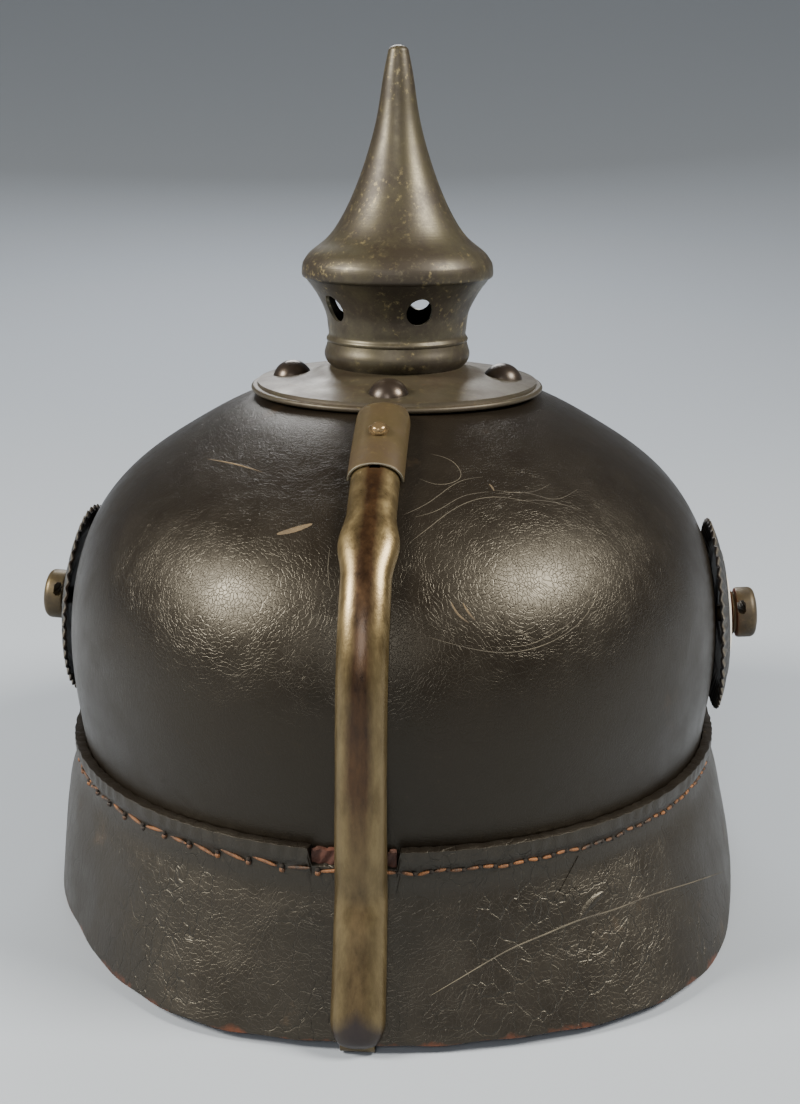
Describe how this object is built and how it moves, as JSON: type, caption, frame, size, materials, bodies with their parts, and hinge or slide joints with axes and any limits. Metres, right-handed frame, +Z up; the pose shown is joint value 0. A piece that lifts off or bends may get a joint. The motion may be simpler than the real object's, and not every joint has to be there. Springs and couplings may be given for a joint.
{
  "type": "pickelhaube",
  "caption": "Spiked field-service helmet of black leather with front and rear visors, vented twist-off spike, rear spine with a sliding vent cover, and side cockades.",
  "frame": {"origin": "under the middle of the helmet's box, in the plane that the two visors stand on", "axes": "+Z up, the wearer faces -Y, so the spine is at +Y and the wearer's right side at -X"},
  "size_m": [0.2108, 0.2578, 0.2306],
  "materials": {
    "black_leather": "lacquered, worn",
    "tan_leather": "matt",
    "grey_steel": "oxidised, satin",
    "dark_steel": "browned, satin",
    "cockade_paint": "satin",
    "post_brass": "tarnished"
  },
  "bodies": {
    "helmet": {"shell": "black_leather", "rear_visor": "black_leather", "front_visor": "black_leather", "front_visor_trim": "grey_steel", "liner": "tan_leather", "base_plate": "grey_steel", "base_stud_left": "dark_steel", "base_stud_rear": "dark_steel", "base_stud_right": "dark_steel", "base_stud_front": "dark_steel", "stud_washers": "tan_leather", "rear_spine": "grey_steel", "spine_prongs": "dark_steel", "spine_washer": "tan_leather", "cockade_right": "cockade_paint", "cockade_left": "cockade_paint", "strap_post_right": "post_brass", "strap_post_left": "post_brass", "post_washers": "tan_leather", "post_nuts": "dark_steel"},
    "vent_cover": {"vent_slide": "grey_steel", "vent_knob": "post_brass", "vent_slide_keeper": "dark_steel"},
    "spike": {"spike_cone": "grey_steel", "spike_neck": "grey_steel", "bayonet_collar": "dark_steel"}
  },
  "joints": [
    {"name": "vent_cover_slide", "type": "hinge", "parent": "helmet", "child": "vent_cover", "pos_m": [0, 0.00901, -0.00502], "axis": [-1, 0, 0], "range_deg": [0, 4.62]},
    {"name": "spike_twist", "type": "hinge", "parent": "helmet", "child": "spike", "pos_m": [0, 0.00816, 0], "axis": [0, 0, 1], "range_deg": [0, 60]}
  ]
}
